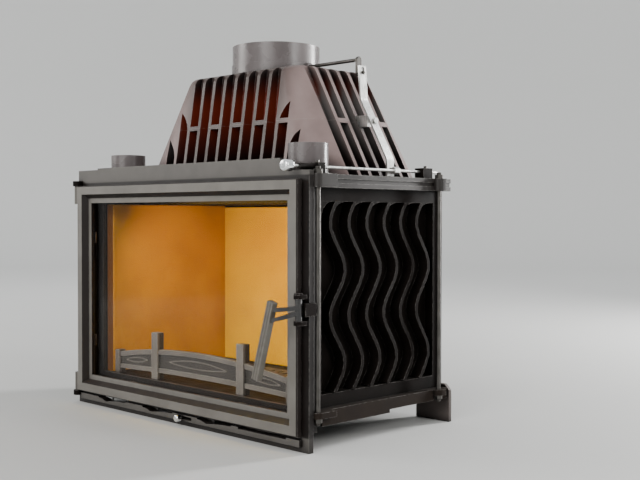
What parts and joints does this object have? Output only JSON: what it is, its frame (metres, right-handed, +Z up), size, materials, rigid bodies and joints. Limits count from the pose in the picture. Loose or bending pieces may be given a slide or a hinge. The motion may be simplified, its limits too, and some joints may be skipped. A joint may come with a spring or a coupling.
{
  "type": "fireplace insert",
  "caption": "Cast-iron fireplace insert with a wide glazed side-hinged door, wavy-finned walls, a finned smoke hood and a flue collar whose damper is worked by a push rod.",
  "frame": {"origin": "middle of the box around the part, on the floor it stands on", "axes": "+X to the right of someone who faces the door, -Y out of the door, +Z up the flue"},
  "size_m": [0.802, 0.506, 0.829],
  "materials": {
    "cast_iron": "matte heat-proof paint",
    "hood_iron": "matte heat-proof paint",
    "door_iron": "satin heat-proof paint",
    "zinc_steel": "zinc plated",
    "plain_steel": "plain",
    "chrome": "polished",
    "black_handle": "black enamel",
    "fireclay": "matte",
    "glass": "clear",
    "seal_rope": "woven"
  },
  "bodies": {
    "body": {"front_plate": "cast_iron", "base_plate": "cast_iron", "ash_pit": "cast_iron", "side_wall_left": "cast_iron", "side_wall_right": "cast_iron", "back_wall": "cast_iron", "top_plate": "cast_iron", "flue_collar": "cast_iron", "rear_foot_left": "cast_iron", "rear_foot_right": "cast_iron", "baffle_plate": "cast_iron", "grate": "cast_iron", "log_guard": "cast_iron", "hinge_lugs": "cast_iron", "latch_keeper": "cast_iron", "rod_bearings": "cast_iron", "air_spigots": "cast_iron", "hood_lower": "hood_iron", "hood_upper": "hood_iron", "lever_bracket": "zinc_steel", "tie_rods": "plain_steel", "air_slide_rails": "plain_steel", "ash_pan": "plain_steel", "lining_left": "fireclay", "lining_right": "fireclay", "lining_back": "fireclay"},
    "door": {"door_frame": "door_iron", "door_glass": "glass", "glass_gasket": "seal_rope", "glass_clips": "plain_steel", "door_rope_seal": "seal_rope", "latch_bracket": "cast_iron"},
    "handle": {"handle_lever": "black_handle", "handle_grip": "black_handle"},
    "air_slide": {"air_slide_plate": "plain_steel", "air_slide_knob": "chrome"},
    "push_rod": {"control_rod": "zinc_steel", "control_knob": "chrome"},
    "lever": {"damper_lever": "zinc_steel"},
    "damper": {"damper_shaft": "plain_steel", "damper_flap": "cast_iron"}
  },
  "joints": [
    {"name": "door_hinge", "type": "hinge", "parent": "body", "child": "door", "pos_m": [-0.383, -0.189, 0.2715], "axis": [0, 0, -1], "range_deg": [0, 100]},
    {"name": "handle_turn", "type": "hinge", "parent": "door", "child": "handle", "pos_m": [0.386, -0.205, 0.2695], "axis": [0, 0, 1], "range_deg": [0, 22]},
    {"name": "air_slide_move", "type": "slide", "parent": "body", "child": "air_slide", "axis": [1, 0, 0], "range_m": [0, 0.03]},
    {"name": "damper_pull", "type": "slide", "parent": "body", "child": "push_rod", "axis": [0, -1, 0], "range_m": [-0.012, 0.016]},
    {"name": "lever_swing", "type": "hinge", "parent": "body", "child": "lever", "pos_m": [0.29839, 0.098, 0.644], "axis": [-1, 0, 0], "range_deg": [-6.5, 8.7]},
    {"name": "flap_turn", "type": "hinge", "parent": "body", "child": "damper", "pos_m": [0, 0.098, 0.776], "axis": [1, 0, 0], "range_deg": [-26.2, 34.9]}
  ],
  "couplings": [
    {"joint": "lever_swing", "follows": "damper_pull", "rad_per_m": 9.3458},
    {"joint": "flap_turn", "follows": "damper_pull", "rad_per_m": 37.87}
  ]
}
